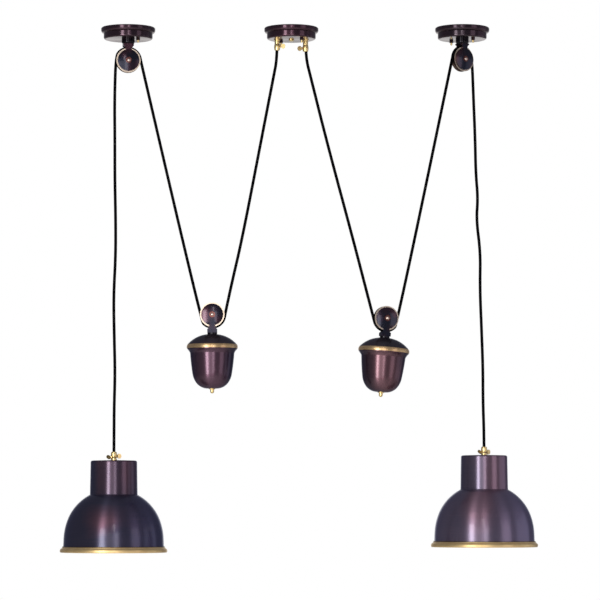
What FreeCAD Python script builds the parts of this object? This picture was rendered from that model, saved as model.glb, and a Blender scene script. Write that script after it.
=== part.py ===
import FreeCAD, Part
import math
import os
import re

import Sketcher

# Double rise and fall pendant. Three ceiling roses in a row, two counterweights and two dome shades.
# On each side one flex runs from the middle rose under the counterweight's pulley, over the pulley
# below the outer rose and down to the shade.
# Frame: origin at the centre of the middle rose on the ceiling plane, +Z up, +X along the row of
# roses, the viewer on the -Y side. Millimetres and degrees.

SIZES = {
    # where the moving groups hang at rest
    "left_block_x": -328,
    "right_block_x": 343.5,
    "left_block_yaw": 10,
    "right_block_yaw": 36,
    "left_block_drop": 66,
    "right_block_drop": 63.6,
    "left_weight_x": -158,
    "right_weight_x": 189.2,
    "left_weight_yaw": 0,
    "right_weight_yaw": 14,
    "left_weight_lean": 0,
    "right_weight_lean": 4.2,
    "left_weight_drop": 577.4,
    "right_weight_drop": 585.4,
    "left_shade_x": -353.3,
    "right_shade_x": 385.3,
    "left_shade_drop": 869,
    "right_shade_drop": 858.4,
    "left_shade_yaw": 30,
    "right_shade_yaw": 40,
    # flex and its fits
    "cord_diameter": 6,
    "cord_fit": 0.3,
    "cord_gap": 1.5,
    "thread_fit": 0.05,
    "running_fit": 0.05,
    # ceiling straps
    "strap_length": 92,
    "strap_width": 17,
    "strap_thickness": 2.5,
    "strap_yaw": -43,
    "strap_boss_radius": 9,
    "strap_boss_height": 8,
    "strap_screw_pitch": 76,
    "strap_screw_radius": 2.5,
    # roses
    "rose_height": 23.4,
    "rose_flange_radius": 54.5,
    "rose_flange_height": 11.4,
    "rose_flange_edge": 1.5,
    "rose_flange_straight": 6.5,
    "rose_flange_cove": 2,
    "rose_wall_radius": 49.2,
    "rose_corner": 3.5,
    "rose_wall": 1.2,
    "rose_hole_play": 0.3,
    # studs and nuts of the roses
    "stud_pitch": 57,
    "stud_radius": 2,
    "stud_tip": 5,
    "nut_flats": 7,
    "nut_height": 4.2,
    "plug_radius": 5.2,
    "plug_height": 4,
    # hollow M10 stems
    "stem_radius": 5,
    # yoke of a ceiling pulley
    "yoke_radius": 13,
    "yoke_height": 8.5,
    "yoke_round": 3,
    "yoke_foot_half": 10.5,
    # pulleys
    "pitch_radius": 25,
    "sheave_radius": 24.5,
    "sheave_half_width": 5.8,
    "sheave_hub_radius": 6,
    "sheave_hub_half": 6,
    "sheave_web_half": 3,
    "sheave_web_radius": 18.5,
    "groove_half_width": 4.6,
    "axle_radius": 2.5,
    "axle_head_radius": 3.3,
    "axle_head_height": 1.5,
    "cheek_gap_half": 6.3,
    "cheek_radius": 21.75,
    "cheek_rim": 2.2,
    "cheek_dome": 3,
    "cheek_dome_radius": 72,
    "cheek_hub_radius": 5.3,
    "cheek_hub_height": 1.2,
    "stem_plate": 2.9,
    "stem_half_width": 6,
    "stem_flare_start": 22.5,
    "stem_flare_height": 6.5,
    # counterweights, levels counted down from the pulley
    "tang_height": 6.5,
    "collar_half": 9.8,
    "collar_height": 3.4,
    "spigot_length": 7,
    "cap_height": 20.2,
    "cap_flat_radius": 12,
    "cap_edge_radius": 49.6,
    "cap_dome_radius": 60,
    "cap_wall": 1.5,
    "cap_skirt_radius": 48,
    "band_height": 8,
    "band_bottom_radius": 50.8,
    "band_bulge_radius": 10,
    "lip_radius": 50,
    "lip_height": 1.4,
    "lip_cove_height": 8,
    "lip_cove_curve": 22,
    "body_top_radius": 44.3,
    "body_waist_radius": 39.4,
    "body_waist_drop": 51.2,
    "body_side_curve": 480,
    "body_turn_radius": 31.6,
    "body_turn_drop": 69.4,
    "body_turn_curve": 40.9,
    "body_foot_radius": 8,
    "body_foot_curve": 28.4,
    "body_height": 80.4,
    "body_wall": 1.5,
    "rod_radius": 3,
    "slug_gap": 0.4,
    "slug_top_drop": 2.1,
    "slug_radius": 36.8,
    "finial_radius": 6.5,
    "finial_collar": 2,
    "finial_waist_radius": 3.9,
    "finial_waist": 3.2,
    "finial_ball_height": 3.6,
    "finial_length": 9.6,
    # shades, levels counted down from the top of the neck
    "shade_height": 182.6,
    "shade_wall": 1.2,
    "shade_crown": 1,
    "neck_top_radius": 46.3,
    "neck_bottom_radius": 47.4,
    "neck_corner": 3.5,
    "neck_height": 68.2,
    "dome_start_radius": 48,
    "dome_upper_curve": 95.7,
    "dome_middle_radius": 90,
    "dome_middle_drop": 113.2,
    "dome_lower_curve": 119,
    "dome_side_radius": 99.5,
    "dome_side_drop": 155.2,
    "dome_lip_radius": 100.6,
    "rim_height": 12,
    "rim_top_radius": 101.6,
    "rim_flare_radius": 105.4,
    "rim_flare_height": 7,
    "rim_flare_curve": 7,
    "rim_bulge_curve": 5.6,
    "rim_bottom_radius": 105.7,
    "rim_inner_radius": 97.7,
    "rim_web": 1.4,
    # cord grips
    "grip_flange_radius": 6.4,
    "grip_flange_height": 1.6,
    "grip_neck_radius": 5.2,
    "grip_bulb_height": 12.6,
    "grip_bulb_curve": 22.5,
    "grip_bulb_radius": 6.1,
    "rose_grip_x": 28.5,
    "left_rose_grip_neck": 7.8,
    "right_rose_grip_neck": 10.2,
    "rose_grip_stem": 7,
    "shade_grip_neck": 2,
    "shade_grip_stem": 9,
    "lock_nut_flats": 14,
    "lock_nut_height": 3,
    # thumbscrews
    "screw_radius": 1.5,
    "screw_collar_radius": 3.4,
    "screw_collar_height": 1.6,
    "screw_neck_radius": 2.2,
    "screw_paddle": 6.2,
    "screw_paddle_root": 1.8,
    "screw_paddle_side": 3.9,
    "screw_paddle_tip": 4.2,
    "screw_paddle_end": 5.2,
    "screw_paddle_thickness": 2,
    "left_rose_screw_lift": 2.4,
    "right_rose_screw_lift": 0,
    "shade_screw_low": 4.1,
    "left_shade_screw_high": 2,
    "right_shade_screw_high": 4.1,
    # lampholder, levels counted down from the top of the neck
    "holder_boss_radius": 8,
    "holder_boss_drop": 4.5,
    "holder_cap_radius": 19,
    "holder_cap_shoulder": 11,
    "holder_cap_drop": 27,
    "holder_wall": 1.4,
    "holder_core_radius": 17,
    "holder_core_drop": 15.5,
    "socket_top_drop": 33,
    "socket_radius": 13.3,
    "socket_wall": 1.2,
    "socket_length": 24,
    "holder_skirt_top": 23,
    "holder_skirt_round": 5,
    # terminal block in the middle rose
    "block_length": 26,
    "block_width": 13,
    "block_height": 11,
    "block_offset": 31,
    "block_bore_radius": 2,
    "block_bore_pitch": 9,
}

SIDES = ("left", "right")

doc = FreeCAD.newDocument("RiseAndFallPendant")
sheet = doc.addObject("Spreadsheet::Sheet", "Sizes")
for row, (alias, size) in enumerate(SIZES.items(), start=1):
    sheet.set(f"A{row}", alias.replace("_", " "))
    sheet.set(f"B{row}", str(size))
    sheet.setAlias(f"B{row}", alias)
doc.recompute()

nodes = []


def sized(formula):
    """A formula in size names, written as references to the sheet."""
    return re.sub(r"[a-z_]+", lambda word: "Sizes." * (word.group() in SIZES) + word.group(), formula)


def number(formula):
    return float(sheet.evalExpression(sized(formula)))


def keep(piece):
    """Hands a finished sub-part in as a node."""
    nodes.append(piece)
    return piece


def place(piece, across="0", deep="0", up="0", yaw="0", pitch="0", upside_down=False):
    """Puts a sub-part where formulas say: yaw turns it about +Z, pitch then about its own Y."""
    formulas = {"Base.x": across, "Base.y": deep, "Base.z": up, "Rotation.Yaw": yaw, "Rotation.Pitch": pitch}
    formulas["Rotation.Roll"] = "180" if upside_down else "0"
    for target, formula in formulas.items():
        if formula != "0":
            piece.setExpression("Placement." + target, sized(formula))
    return piece


def group(name, pieces):
    """Several separate solids as one node."""
    bunch = doc.addObject("Part::Compound", name)
    bunch.Links = pieces
    return keep(bunch)


# ---------------------------------------------------------------- sketches and features


def new_sketch(body, name, plane, forward="0"):
    """Sketch on one of the body's own origin planes, moved forward along its normal."""
    sketch = body.newObject("Sketcher::SketchObject", name)
    support = next(part for part in body.Origin.OriginFeatures if part.Role == plane)
    sketch.AttachmentSupport = [(support, "")]
    sketch.MapMode = "FlatFace"
    if forward != "0":
        sketch.setExpression("AttachmentOffset.Base.z", sized(forward))
    return sketch


def fix_point(sketch, line, end, across, up):
    """Ties one point of the sketch to two formulas."""
    for kind, formula, axis in (("DistanceX", across, -2), ("DistanceY", up, -1)):
        if formula == "0":
            sketch.addConstraint(Sketcher.Constraint("PointOnObject", line, end, axis))
        else:
            rule = Sketcher.Constraint(kind, -1, 1, line, end, number(formula))
            sketch.setExpression(f"Constraints[{sketch.addConstraint(rule)}]", sized(formula))


def arc_between(start, end, radius):
    """Counter-clockwise arc geometry that bulges to the right of start-to-end if radius is positive."""
    half = (end - start) * 0.5
    side = FreeCAD.Vector(-half.y, half.x, 0).normalize()
    centre = start + half + side * math.copysign(math.sqrt(radius**2 - half.Length**2), radius)
    first, last = (start, end) if radius > 0 else (end, start)
    angles = [math.atan2(point.y - centre.y, point.x - centre.x) for point in (first, last)]
    if angles[1] < angles[0]:
        angles[1] += 2 * math.pi
    circle = Part.Circle(centre, FreeCAD.Vector(0, 0, 1), abs(radius))
    return Part.ArcOfCircle(circle, angles[0], angles[1])


def draw_outline(sketch, corners):
    """Closed outline. A corner is (across, up), or (across, up, radius) where an arc leads to the next."""
    count = len(corners)
    points = [FreeCAD.Vector(number(corner[0]), number(corner[1]), 0) for corner in corners]
    ends = []
    for i, corner in enumerate(corners):
        start, end = points[i], points[(i + 1) % count]
        if len(corner) == 2:
            sketch.addGeometry(Part.LineSegment(start, end))
            ends.append((1, 2))
            continue
        radius = number(corner[2])
        sketch.addGeometry(arc_between(start, end, radius))
        ends.append((1, 2) if radius > 0 else (2, 1))
    for i, corner in enumerate(corners):
        following = (i + 1) % count
        sketch.addConstraint(Sketcher.Constraint("Coincident", i, ends[i][1], following, ends[following][0]))
        fix_point(sketch, i, ends[i][0], corner[0], corner[1])
        if len(corner) == 3:
            rule = sketch.addConstraint(Sketcher.Constraint("Radius", i, abs(number(corner[2]))))
            sketch.setExpression(f"Constraints[{rule}]", sized(f"abs({corner[2]})"))


def turned(name, corners, plane="XZ_Plane"):
    """Body turned from an outline of (radius, height) corners about +Z, or about +Y on XY_Plane."""
    body = doc.addObject("PartDesign::Body", name)
    sketch = new_sketch(body, name + "_outline", plane)
    draw_outline(sketch, corners)
    turn = body.newObject("PartDesign::Revolution", name + "_turned")
    turn.Profile = sketch
    turn.ReferenceAxis = (sketch, ["V_Axis"])
    turn.Angle = 360
    return body


def add_pad(body, name, plane, corners, thickness, forward="0", both_ways=True):
    """Plate added to a body from an outline, both ways from its plane or only along its normal."""
    sketch = new_sketch(body, name + "_outline", plane, forward)
    draw_outline(sketch, corners)
    pad = body.newObject("PartDesign::Pad", name)
    pad.Profile = sketch
    pad.SideType = "Symmetric" if both_ways else "One side"
    pad.setExpression("Length", sized(thickness))
    return pad


def drill(body, name, plane, holes, one_way=None, forward="0"):
    """Round holes, each (across, up, radius), right through both ways or only forwards or backwards."""
    sketch = new_sketch(body, name + "_holes", plane, forward)
    for i, (across, up, radius) in enumerate(holes):
        centre = FreeCAD.Vector(number(across), number(up), 0)
        sketch.addGeometry(Part.Circle(centre, FreeCAD.Vector(0, 0, 1), number(radius)))
        fix_point(sketch, i, 3, across, up)
        rule = sketch.addConstraint(Sketcher.Constraint("Radius", i, number(radius)))
        sketch.setExpression(f"Constraints[{rule}]", sized(radius))
    cut = body.newObject("PartDesign::Pocket", name)
    cut.Profile = sketch
    cut.Type = "ThroughAll"
    cut.SideType = "One side" if one_way else "Symmetric"
    cut.Reversed = one_way == "forwards"


def cap_curve(radius, height):
    """Radius of the sphere whose cap has this base radius and height."""
    return f"(({radius}) ^ 2 + ({height}) ^ 2) / (2 * ({height}))"


def rectangle(half_across, low, high):
    return [(f"-({half_across})", low), (half_across, low), (half_across, high), (f"-({half_across})", high)]


def hexagon(flats):
    """Corners of a hexagon by its width across flats, as formulas."""
    return [(f"({flats}) / sqrt(3) * cos({60 * k})", f"({flats}) / sqrt(3) * sin({60 * k})") for k in range(6)]


# ---------------------------------------------------------------- ceiling plates and roses

BLOCK_X = {side: f"{side}_block_x" for side in SIDES}
BLOCK_DROP = {side: f"{side}_block_drop" for side in SIDES}
ROSE_X = {"left": "left_block_x", "middle": "0", "right": "right_block_x"}
STUD_ACROSS = "stud_pitch / 2 * cos(strap_yaw)"
STUD_DEEP = "stud_pitch / 2 * sin(strap_yaw)"
STUD_SPOTS = [(f"{sign}{STUD_ACROSS}", f"{sign}{STUD_DEEP}") for sign in ("", "-")]
# The left rose is held by its front stud alone.
ROSE_STUDS = {"left": STUD_SPOTS[:1], "middle": STUD_SPOTS, "right": STUD_SPOTS}


def ceiling_strap(name, across):
    """Flat plate on the ceiling with a tapped boss in the middle, two studs' holes and two screw holes."""
    corners = rectangle("strap_length / 2", "-strap_width / 2", "strap_width / 2")
    body = doc.addObject("PartDesign::Body", name)
    plate = add_pad(body, name + "_plate", "XY_Plane", corners, "strap_thickness", both_ways=False)
    plate.Reversed = True
    sketch = new_sketch(body, name + "_boss_outline", "XY_Plane")
    sketch.addGeometry(Part.Circle(FreeCAD.Vector(), FreeCAD.Vector(0, 0, 1), number("strap_boss_radius")))
    fix_point(sketch, 0, 3, "0", "0")
    rule = sketch.addConstraint(Sketcher.Constraint("Radius", 0, number("strap_boss_radius")))
    sketch.setExpression(f"Constraints[{rule}]", sized("strap_boss_radius"))
    boss = body.newObject("PartDesign::Pad", name + "_boss")
    boss.Profile = sketch
    boss.Reversed = True
    boss.setExpression("Length", sized("strap_thickness + strap_boss_height"))
    holes = [("0", "0", "stem_radius + thread_fit")]
    for sign in ("", "-"):
        holes.append((sign + "stud_pitch / 2", "0", "stud_radius + thread_fit"))
        holes.append((sign + "strap_screw_pitch / 2", "0", "strap_screw_radius"))
    drill(body, name + "_drilled", "XY_Plane", holes)
    return place(body, across, yaw="strap_yaw")


def rose_cover(name, across, spots):
    """Spun cup: a flange against the ceiling, a step, a straight wall and a flat floor with its holes."""
    corners = [
        ("rose_flange_radius - rose_flange_edge", "0"),
        ("rose_flange_radius", "-rose_flange_edge"),
        ("rose_flange_radius", "-rose_flange_straight", "-(rose_flange_height)"),
        ("rose_flange_radius - rose_flange_cove", "-(rose_flange_height - rose_flange_edge)"),
        ("rose_wall_radius", "-rose_flange_height"),
        ("rose_wall_radius", "-(rose_height - rose_corner)", "-rose_corner"),
        ("rose_wall_radius - rose_corner", "-rose_height"),
        ("0", "-rose_height"),
        ("0", "-(rose_height - rose_wall)"),
        ("rose_wall_radius - rose_corner", "-(rose_height - rose_wall)", "rose_corner - rose_wall"),
        ("rose_wall_radius - rose_wall", "-(rose_height - rose_corner)"),
        ("rose_wall_radius - rose_wall", "-(rose_flange_height - rose_wall)"),
        ("rose_flange_radius - rose_flange_cove - rose_wall", "-(rose_flange_height - 2 * rose_wall)"),
        ("rose_flange_radius - rose_wall - rose_flange_edge / 2", "-rose_flange_straight"),
        ("rose_flange_radius - rose_wall - rose_flange_edge / 2", "0"),
    ]
    body = turned(name, corners)
    holes = [(x, y, f"{radius} + rose_hole_play") for x, y, radius in spots]
    drill(body, name + "_drilled", "XY_Plane", holes)
    return place(body, across)


def rose_stud(name, across, deep):
    corners = [
        ("0", "-strap_thickness / 4"),
        ("stud_radius", "-strap_thickness / 4"),
        ("stud_radius", "-(rose_height + nut_height + stud_tip - stud_radius / 2)"),
        ("stud_radius / 2", "-(rose_height + nut_height + stud_tip)"),
        ("0", "-(rose_height + nut_height + stud_tip)"),
    ]
    return place(turned(name, corners), across, deep)


def hex_nut(name, across, deep, up, flats, height, bore):
    """Hexagon nut whose top face lies at up."""
    body = doc.addObject("PartDesign::Body", name)
    add_pad(body, name + "_hexagon", "XY_Plane", hexagon(flats), height, both_ways=False).Reversed = True
    drill(body, name + "_bored", "XY_Plane", [("0", "0", bore)])
    return place(body, across, deep, up, yaw="strap_yaw")


straps = [ceiling_strap(f"ceiling_strap_{spot}", across) for spot, across in ROSE_X.items()]
group("ceiling_straps", straps)

studs = []
nuts = []
for spot, across in ROSE_X.items():
    stems = ["0", "rose_grip_x", "-rose_grip_x"] if spot == "middle" else ["0"]
    spots = [(x, "0", "stem_radius") for x in stems] + [(x, y, "stud_radius") for x, y in ROSE_STUDS[spot]]
    keep(rose_cover(f"rose_cover_{spot}", across, spots))
    for end, (x, y) in zip(("front", "back"), ROSE_STUDS[spot]):
        studs.append(rose_stud(f"stud_{spot}_{end}", f"{across} + {x}", y))
        bore = "stud_radius + thread_fit"
        nut = (f"{across} + {x}", y, "-rose_height", "nut_flats", "nut_height", bore)
        nuts.append(hex_nut(f"nut_{spot}_{end}", *nut))
group("rose_nuts", nuts)

STEM_TOP = "-(strap_thickness / 2)"
plug_corners = [
    ("0", STEM_TOP),
    ("stem_radius", STEM_TOP),
    ("stem_radius", "-rose_height"),
    ("plug_radius", "-rose_height"),
    ("plug_radius", "-(rose_height + plug_height / 2)", f"-({cap_curve('plug_radius', 'plug_height / 2')})"),
    ("0", "-(rose_height + plug_height)"),
]
group("rose_studs", studs + [turned("rose_plug", plug_corners)])

block = doc.addObject("PartDesign::Body", "terminal_block")
block_corners = rectangle("block_length / 2", "-block_width / 2", "block_width / 2")
add_pad(block, "block_solid", "XY_Plane", block_corners, "block_height", both_ways=False)
bores = [(f"{k} * block_bore_pitch", "block_height / 2", "block_bore_radius") for k in (-1, 0, 1)]
drill(block, "block_bored", "XZ_Plane", bores)
keep(
    place(
        block,
        "-block_offset * sin(strap_yaw)",
        "block_offset * cos(strap_yaw)",
        "-(rose_height - rose_wall)",
        yaw="strap_yaw",
    )
)

# ---------------------------------------------------------------- pulleys

TANG_START = "pitch_radius + cord_diameter / 2 + cord_gap"
GROOVE_ROOT = "pitch_radius - cord_diameter / 2 - cord_fit"
GROOVE_DEPTH = f"(sheave_radius - ({GROOVE_ROOT}))"
GROOVE_CURVE = f"(groove_half_width ^ 2 + {GROOVE_DEPTH} ^ 2) / (2 * {GROOVE_DEPTH})"
CHEEK_FACE = "cheek_gap_half + cheek_rim + cheek_dome + cheek_hub_height"


def sheave(name, **spot):
    """Grooved wheel about its own Y, with a hub that runs between the cheeks."""
    corners = [
        ("axle_radius + running_fit", "-sheave_hub_half"),
        ("sheave_hub_radius", "-sheave_hub_half"),
        ("sheave_hub_radius", "-sheave_web_half"),
        ("sheave_web_radius", "-sheave_web_half"),
        ("sheave_web_radius", "-sheave_half_width"),
        ("sheave_radius", "-sheave_half_width"),
        ("sheave_radius", "-groove_half_width", f"-({GROOVE_CURVE})"),
        ("sheave_radius", "groove_half_width"),
        ("sheave_radius", "sheave_half_width"),
        ("sheave_web_radius", "sheave_half_width"),
        ("sheave_web_radius", "sheave_web_half"),
        ("sheave_hub_radius", "sheave_web_half"),
        ("sheave_hub_radius", "sheave_hub_half"),
        ("axle_radius + running_fit", "sheave_hub_half"),
    ]
    return keep(place(turned(name, corners, "XY_Plane"), **spot))


def axle(name, **spot):
    """Pin with a domed head riveted over at each end."""
    head_curve = cap_curve("axle_head_radius", "axle_head_height")
    corners = [
        ("0", f"-({CHEEK_FACE} + axle_head_height)", head_curve),
        ("axle_head_radius", f"-({CHEEK_FACE})"),
        ("axle_radius", f"-({CHEEK_FACE})"),
        ("axle_radius", CHEEK_FACE),
        ("axle_head_radius", CHEEK_FACE, head_curve),
        ("0", f"{CHEEK_FACE} + axle_head_height"),
    ]
    return place(turned(name, corners, "XY_Plane"), **spot)


def cheek(name, foot_half, foot_top, **spot):
    """Front cheek: a domed disc with a hub, and a stem with a flared foot that runs up to its carrier."""
    corners = [
        ("axle_radius + thread_fit", "-cheek_gap_half"),
        ("cheek_radius", "-cheek_gap_half"),
        ("cheek_radius", "-(cheek_gap_half + cheek_rim)", "-cheek_dome_radius"),
        ("cheek_hub_radius", "-(cheek_gap_half + cheek_rim + cheek_dome)"),
        ("cheek_hub_radius", f"-({CHEEK_FACE})"),
        ("axle_radius + thread_fit", f"-({CHEEK_FACE})"),
    ]
    body = turned(name, corners, "XY_Plane")
    flare_end = "stem_flare_start + stem_flare_height"
    stem = [
        ("stem_half_width", "cheek_hub_radius"),
        ("stem_half_width", "stem_flare_start", "-(stem_flare_height + 1)"),
        (foot_half, flare_end),
        (foot_half, foot_top),
        (f"-({foot_half})", foot_top),
        (f"-({foot_half})", flare_end, "-(stem_flare_height + 1)"),
        ("-stem_half_width", "stem_flare_start"),
        ("-stem_half_width", "cheek_hub_radius"),
    ]
    add_pad(body, name + "_stem", "XZ_Plane", stem, "stem_plate", "cheek_gap_half", both_ways=False)
    outer = "-(cheek_gap_half + stem_plate)"
    rib = [
        ("-cheek_gap_half", "cheek_hub_radius"),
        ("-cheek_gap_half", "stem_flare_start"),
        (outer, "stem_flare_start"),
        (outer, "cheek_radius"),
        (f"-({CHEEK_FACE} - cheek_hub_height / 2)", "cheek_hub_radius"),
    ]
    add_pad(body, name + "_rib", "YZ_Plane", rib, "2 * stem_half_width - 2")
    return place(body, **spot)


def yoke(name, side):
    """Stem up into the strap's boss, round collar under the rose and a tang between the cheeks' feet."""
    collar_end = "-(rose_height + yoke_height)"
    corners = [
        ("0", STEM_TOP),
        ("stem_radius", STEM_TOP),
        ("stem_radius", "-rose_height"),
        ("yoke_radius", "-rose_height"),
        ("yoke_radius", f"{collar_end} + yoke_round", "-yoke_round"),
        ("yoke_radius - yoke_round", collar_end),
        ("0", collar_end),
    ]
    body = turned(name, corners)
    tang = rectangle("yoke_foot_half", f"-{BLOCK_DROP[side]} + {TANG_START}", collar_end)
    add_pad(body, name + "_tang", "XZ_Plane", tang, "2 * cheek_gap_half")
    return keep(place(body, BLOCK_X[side], yaw=f"{side}_block_yaw"))


block_cheeks = []
block_axles = []
for side in SIDES:
    spot = {"across": BLOCK_X[side], "up": "-" + BLOCK_DROP[side]}
    yaw = f"{side}_block_yaw"
    yoke(f"pulley_yoke_{side}", side)
    sheave(f"ceiling_sheave_{side}", yaw=yaw, **spot)
    block_axles.append(axle(f"ceiling_axle_{side}", yaw=yaw, **spot))
    for face, turn in (("front", ""), ("back", " - 180")):
        foot = ("yoke_foot_half", f"{BLOCK_DROP[side]} - rose_height - yoke_height")
        block_cheeks.append(cheek(f"ceiling_cheek_{side}_{face}", *foot, yaw=yaw + turn, **spot))
group("ceiling_cheeks", block_cheeks)
group("ceiling_axles", block_axles)

# ---------------------------------------------------------------- counterweights

TANG_END = f"({TANG_START} + tang_height)"
CAP_TOP = f"({TANG_END} + collar_height)"
BAND_TOP = f"({CAP_TOP} + cap_height)"
BODY_TOP = f"({BAND_TOP} + band_height)"
BODY_END = f"({BODY_TOP} + body_height)"
WEIGHT_DEEP = {
    "left": "-pitch_radius * sin(left_block_yaw) / -2",
    "right": "pitch_radius * sin(right_block_yaw) / -2",
}


def weight_collar(name):
    corners = [
        ("0", f"-{TANG_END}"),
        ("collar_half", f"-{TANG_END}"),
        ("collar_half", f"-{CAP_TOP}"),
        ("stem_radius", f"-{CAP_TOP}"),
        ("stem_radius", f"-({CAP_TOP} + spigot_length)"),
        ("rod_radius + thread_fit", f"-({CAP_TOP} + spigot_length)"),
        ("rod_radius + thread_fit", f"-{CAP_TOP}"),
        ("0", f"-{CAP_TOP}"),
    ]
    body = turned(name, corners)
    tang = rectangle("collar_half", f"-{TANG_END}", f"-({TANG_START})")
    add_pad(body, name + "_tang", "XZ_Plane", tang, "2 * cheek_gap_half")
    return body


def weight_cap(name):
    """Domed cap. Its skirt stands on the body inside the brass band."""
    inner = "cap_skirt_radius - cap_wall"
    corners = [
        ("stem_radius + thread_fit", f"-{CAP_TOP}"),
        ("cap_flat_radius", f"-{CAP_TOP}", "-cap_dome_radius"),
        ("cap_edge_radius", f"-{BAND_TOP}"),
        ("cap_skirt_radius", f"-{BAND_TOP}"),
        ("cap_skirt_radius", f"-{BODY_TOP}"),
        (inner, f"-{BODY_TOP}"),
        (inner, f"-({BAND_TOP} + cap_wall)", "cap_dome_radius - cap_wall"),
        ("cap_flat_radius", f"-({CAP_TOP} + cap_wall)"),
        ("stem_radius + thread_fit", f"-({CAP_TOP} + cap_wall)"),
    ]
    return turned(name, corners)


def weight_band(name):
    corners = [
        ("cap_skirt_radius + thread_fit", f"-{BAND_TOP}"),
        ("cap_skirt_radius + thread_fit", f"-{BODY_TOP}"),
        ("band_bottom_radius", f"-{BODY_TOP}", "band_bulge_radius"),
        ("cap_edge_radius", f"-{BAND_TOP}"),
    ]
    return turned(name, corners)


def body_outline(inset):
    """Corners of the acorn's side from its foot up to its lip, moved in by inset."""
    return [
        (f"body_foot_radius - {inset} / 4", f"-{BODY_END} + {inset}", f"body_foot_curve - {inset}"),
        (f"body_turn_radius - {inset}", f"-({BODY_TOP} + body_turn_drop)", f"body_turn_curve - {inset}"),
        (f"body_waist_radius - {inset}", f"-({BODY_TOP} + body_waist_drop)", f"body_side_curve - {inset}"),
        (f"body_top_radius - {inset}", f"-({BODY_TOP} + lip_height + lip_cove_height)"),
    ]


def weight_body(name):
    """Spun acorn shell, open at the top under the cap, with a lip and a cove below the brass band."""
    side = body_outline("0")
    wall = body_outline("body_wall")
    corners = [("rod_radius + running_fit", f"-{BODY_END}")] + side[:-1]
    corners += [
        (*side[-1], "-lip_cove_curve"),
        ("lip_radius", f"-({BODY_TOP} + lip_height)"),
        ("lip_radius", f"-{BODY_TOP}"),
        (wall[3][0], f"-{BODY_TOP}"),
    ]
    inner = [(wall[3][0], wall[3][1], f"-({wall[2][2]})"), (wall[2][0], wall[2][1], f"-({wall[1][2]})")]
    inner += [(wall[1][0], wall[1][1], f"-({wall[0][2]})"), (wall[0][0], wall[0][1])]
    corners += inner + [("rod_radius + running_fit", f"-{BODY_END} + body_wall")]
    return turned(name, corners)


def weight_slug(name):
    """Cast slug that stands on the rounded bottom of the shell, bored for the rod."""
    bore = "rod_radius + cord_fit"
    inset = "body_wall + slug_gap"
    lower = body_outline(f"({inset})")
    corners = [
        (bore, lower[0][1]),
        lower[0],
        (lower[1][0], lower[1][1]),
        ("slug_radius", f"-({BODY_TOP} + body_waist_drop)"),
        ("slug_radius", f"-({BODY_TOP} + slug_top_drop)"),
        (bore, f"-({BODY_TOP} + slug_top_drop)"),
    ]
    return turned(name, corners)


def weight_rod(name):
    corners = [
        ("0", f"-({BODY_END} + finial_waist)"),
        ("rod_radius", f"-({BODY_END} + finial_waist)"),
        ("rod_radius", f"-{CAP_TOP}"),
        ("0", f"-{CAP_TOP}"),
    ]
    return turned(name, corners)


def weight_finial(name):
    ball_start = f"-({BODY_END} + finial_length - finial_ball_height)"
    ball_curve = cap_curve("finial_waist_radius", "finial_ball_height")
    corners = [
        ("rod_radius + thread_fit", f"-{BODY_END}"),
        ("rod_radius + thread_fit", f"-({BODY_END} + finial_waist)"),
        ("0", f"-({BODY_END} + finial_waist)"),
        ("0", f"-({BODY_END} + finial_length)", ball_curve),
        ("finial_waist_radius", ball_start),
        ("finial_waist_radius", f"-({BODY_END} + finial_collar)"),
        ("finial_radius", f"-({BODY_END} + finial_collar / 2)"),
        ("finial_radius", f"-{BODY_END}"),
    ]
    return turned(name, corners)


WEIGHT_PIECES = {
    "collar": weight_collar,
    "cap": weight_cap,
    "band": weight_band,
    "body": weight_body,
    "slug": weight_slug,
    "rod": weight_rod,
    "finial": weight_finial,
}
for side in SIDES:
    yaw = f"{side}_weight_yaw"
    lean = f"{side}_weight_lean"
    spot = {"across": f"{side}_weight_x", "deep": WEIGHT_DEEP[side], "up": f"-{side}_weight_drop"}
    sheave(f"weight_sheave_{side}", yaw=yaw, **spot)
    keep(axle(f"weight_axle_{side}", yaw=yaw, **spot))
    cheeks = []
    for face, turn, way in (("front", " - 180", "-1"), ("back", "", "1")):
        angles = {"yaw": yaw + turn, "pitch": f"{way} * {lean}"}
        cheek_name = f"weight_cheek_{side}_{face}"
        cheeks.append(cheek(cheek_name, "collar_half", TANG_END, upside_down=True, **angles, **spot))
    group(f"weight_cheeks_{side}", cheeks)
    for piece, make in WEIGHT_PIECES.items():
        keep(place(make(f"weight_{piece}_{side}"), yaw=yaw, pitch=lean, **spot))

# ---------------------------------------------------------------- cord grips and thumbscrews

# How long each grip's neck is, and how long its stem
GRIP_SIZES = {
    "left": ("left_rose_grip_neck", "rose_grip_stem"),
    "right": ("right_rose_grip_neck", "rose_grip_stem"),
    "shade": ("shade_grip_neck", "shade_grip_stem"),
}


def cord_grip(name, kind, screws, **spot):
    """Turned grip with a hollow stem below its flange. Screws are (height, way) of its tapped holes."""
    bore = "cord_diameter / 2 + cord_fit"
    neck, stem = GRIP_SIZES[kind]
    bulb = f"grip_flange_height + {neck}"
    corners = [
        (bore, f"-{stem}"),
        ("stem_radius - thread_fit", f"-{stem}"),
        ("stem_radius - thread_fit", "0"),
        ("grip_flange_radius", "0"),
        ("grip_flange_radius", "grip_flange_height"),
        ("grip_neck_radius", "grip_flange_height"),
        ("grip_neck_radius", bulb, "grip_bulb_curve"),
        ("grip_neck_radius", f"{bulb} + grip_bulb_height"),
        (bore, f"{bulb} + grip_bulb_height"),
    ]
    body = turned(name, corners)
    for height, way in screws:
        hole = [("0", height, "screw_radius + running_fit")]
        drill(body, f"{name}_{way}", "YZ_Plane", hole, one_way=way)
    return place(body, **spot)


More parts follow.
